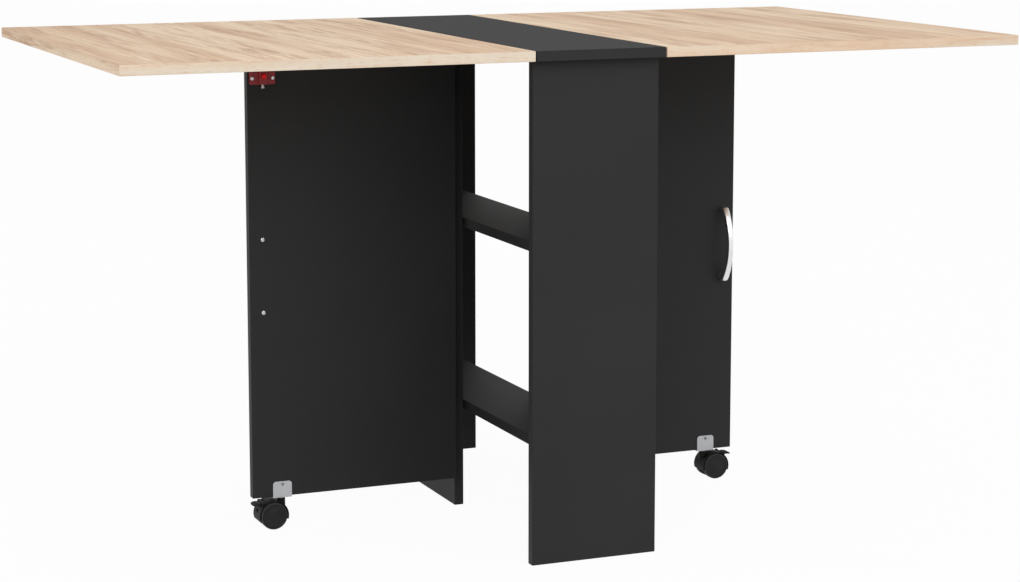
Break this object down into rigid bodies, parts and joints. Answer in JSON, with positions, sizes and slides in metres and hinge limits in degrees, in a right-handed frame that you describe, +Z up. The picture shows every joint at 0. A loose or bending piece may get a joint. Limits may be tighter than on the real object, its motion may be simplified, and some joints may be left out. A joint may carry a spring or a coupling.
{
  "type": "folding kitchen table",
  "caption": "Gate-leg folding table: oak drop leaves hinged to a black centre strip over a shelved pedestal, held up by swinging gate panels on braked casters.",
  "frame": {"origin": "on the floor below the middle of the table top", "axes": "+Z up, +X along the open top's length, -Y to the front end panel"},
  "size_m": [1.4, 0.765, 0.752],
  "materials": {
    "black_board": "matte melamine face with matching edging",
    "oak_board": "satin pale oak decor with matching edging",
    "beech": "plain fluted dowel",
    "hinge_steel": "zinc plated",
    "zinc_fitting": "zinc plated fastener",
    "chrome": "polished",
    "grey_bracket": "satin grey",
    "red_plastic": "dark red, slightly see-through",
    "bright_red_plastic": "bright red",
    "black_plastic": "moulded, fine texture",
    "wheel_plastic": "hard moulded wheel"
  },
  "bodies": {
    "pedestal": {"center_top": "black_board", "front_end_panel": "black_board", "rear_end_panel": "black_board", "left_side_panel": "black_board", "right_side_panel": "black_board", "upper_shelf": "black_board", "lower_shelf": "black_board", "panel_dowels": "beech", "cam_bolts": "zinc_fitting", "cam_locks": "zinc_fitting", "leaf_hinge_fixed_plates": "hinge_steel", "leaf_hinge_pins": "hinge_steel", "gate_hinge_fixed_plates": "hinge_steel", "gate_hinge_pins": "hinge_steel", "pedestal_hinge_screws": "zinc_fitting"},
    "left_leaf": {"left_leaf": "oak_board", "left_leaf_strike": "black_plastic", "left_leaf_hinge_plates": "hinge_steel", "left_leaf_hinge_screws": "zinc_fitting"},
    "left_gate": {"left_gate": "black_board", "left_gate_hinge_plates": "hinge_steel", "left_gate_hinge_screws": "zinc_fitting", "left_handle": "chrome", "left_handle_screws": "zinc_fitting", "left_catch_housing": "red_plastic", "left_catch_screws": "zinc_fitting", "left_leaf_rest": "black_plastic", "left_caster_bracket": "grey_bracket", "left_caster_bracket_screws": "zinc_fitting", "left_caster_stem": "hinge_steel"},
    "left_bolt": {"left_catch_bolt": "hinge_steel", "left_catch_knob": "bright_red_plastic"},
    "left_caster": {"left_caster_hood": "black_plastic", "left_caster_axle": "hinge_steel"},
    "left_inner_wheel": {"left_caster_inner_wheel": "wheel_plastic"},
    "left_outer_wheel": {"left_caster_outer_wheel": "wheel_plastic"},
    "left_brake": {"left_caster_brake": "black_plastic"},
    "right_leaf": {"right_leaf": "oak_board", "right_leaf_strike": "black_plastic", "right_leaf_hinge_plates": "hinge_steel", "right_leaf_hinge_screws": "zinc_fitting"},
    "right_gate": {"right_gate": "black_board", "right_gate_hinge_plates": "hinge_steel", "right_gate_hinge_screws": "zinc_fitting", "right_handle": "chrome", "right_handle_screws": "zinc_fitting", "right_catch_housing": "red_plastic", "right_catch_screws": "zinc_fitting", "right_leaf_rest": "black_plastic", "right_caster_bracket": "grey_bracket", "right_caster_bracket_screws": "zinc_fitting", "right_caster_stem": "hinge_steel"},
    "right_bolt": {"right_catch_bolt": "hinge_steel", "right_catch_knob": "bright_red_plastic"},
    "right_caster": {"right_caster_hood": "black_plastic", "right_caster_axle": "hinge_steel"},
    "right_inner_wheel": {"right_caster_inner_wheel": "wheel_plastic"},
    "right_outer_wheel": {"right_caster_outer_wheel": "wheel_plastic"},
    "right_brake": {"right_caster_brake": "black_plastic"}
  },
  "joints": [
    {"name": "left_gate_swing", "type": "hinge", "parent": "pedestal", "child": "left_gate", "pos_m": [-0.08, 0, 0.3895], "axis": [0, 0, -1], "range_deg": [-90, 0]},
    {"name": "left_leaf_lift", "type": "hinge", "parent": "pedestal", "child": "left_leaf", "pos_m": [-0.102, 0, 0.734], "axis": [0, 1, 0], "range_deg": [0, 5]},
    {"name": "left_catch_slide", "type": "slide", "parent": "left_gate", "child": "left_bolt", "axis": [0, 0, 1], "range_m": [0, 0.012]},
    {"name": "left_caster_swivel", "type": "hinge", "parent": "left_gate", "child": "left_caster", "pos_m": [-0.369, -0.0105, 0.036], "axis": [0, 0, 1], "continuous": true},
    {"name": "left_inner_wheel_roll", "type": "hinge", "parent": "left_caster", "child": "left_inner_wheel", "pos_m": [-0.385, -0.0105, 0.021], "axis": [0, 1, 0], "continuous": true},
    {"name": "left_outer_wheel_roll", "type": "hinge", "parent": "left_caster", "child": "left_outer_wheel", "pos_m": [-0.385, -0.0105, 0.021], "axis": [0, 1, 0], "continuous": true},
    {"name": "left_brake_tip", "type": "hinge", "parent": "left_caster", "child": "left_brake", "pos_m": [-0.40042, -0.0105, 0.04004], "axis": [0, -1, 0], "range_deg": [0, 12]},
    {"name": "right_gate_swing", "type": "hinge", "parent": "pedestal", "child": "right_gate", "pos_m": [0.08, 0, 0.3895], "axis": [0, 0, -1], "range_deg": [-90, 0]},
    {"name": "right_leaf_lift", "type": "hinge", "parent": "pedestal", "child": "right_leaf", "pos_m": [0.102, 0, 0.734], "axis": [0, -1, 0], "range_deg": [0, 5]},
    {"name": "right_catch_slide", "type": "slide", "parent": "right_gate", "child": "right_bolt", "axis": [0, 0, 1], "range_m": [0, 0.012]},
    {"name": "right_caster_swivel", "type": "hinge", "parent": "right_gate", "child": "right_caster", "pos_m": [0.369, 0.0105, 0.036], "axis": [0, 0, 1], "continuous": true},
    {"name": "right_inner_wheel_roll", "type": "hinge", "parent": "right_caster", "child": "right_inner_wheel", "pos_m": [0.385, 0.0105, 0.021], "axis": [0, -1, 0], "continuous": true},
    {"name": "right_outer_wheel_roll", "type": "hinge", "parent": "right_caster", "child": "right_outer_wheel", "pos_m": [0.385, 0.0105, 0.021], "axis": [0, -1, 0], "continuous": true},
    {"name": "right_brake_tip", "type": "hinge", "parent": "right_caster", "child": "right_brake", "pos_m": [0.40042, 0.0105, 0.04004], "axis": [0, 1, 0], "range_deg": [0, 12]}
  ]
}
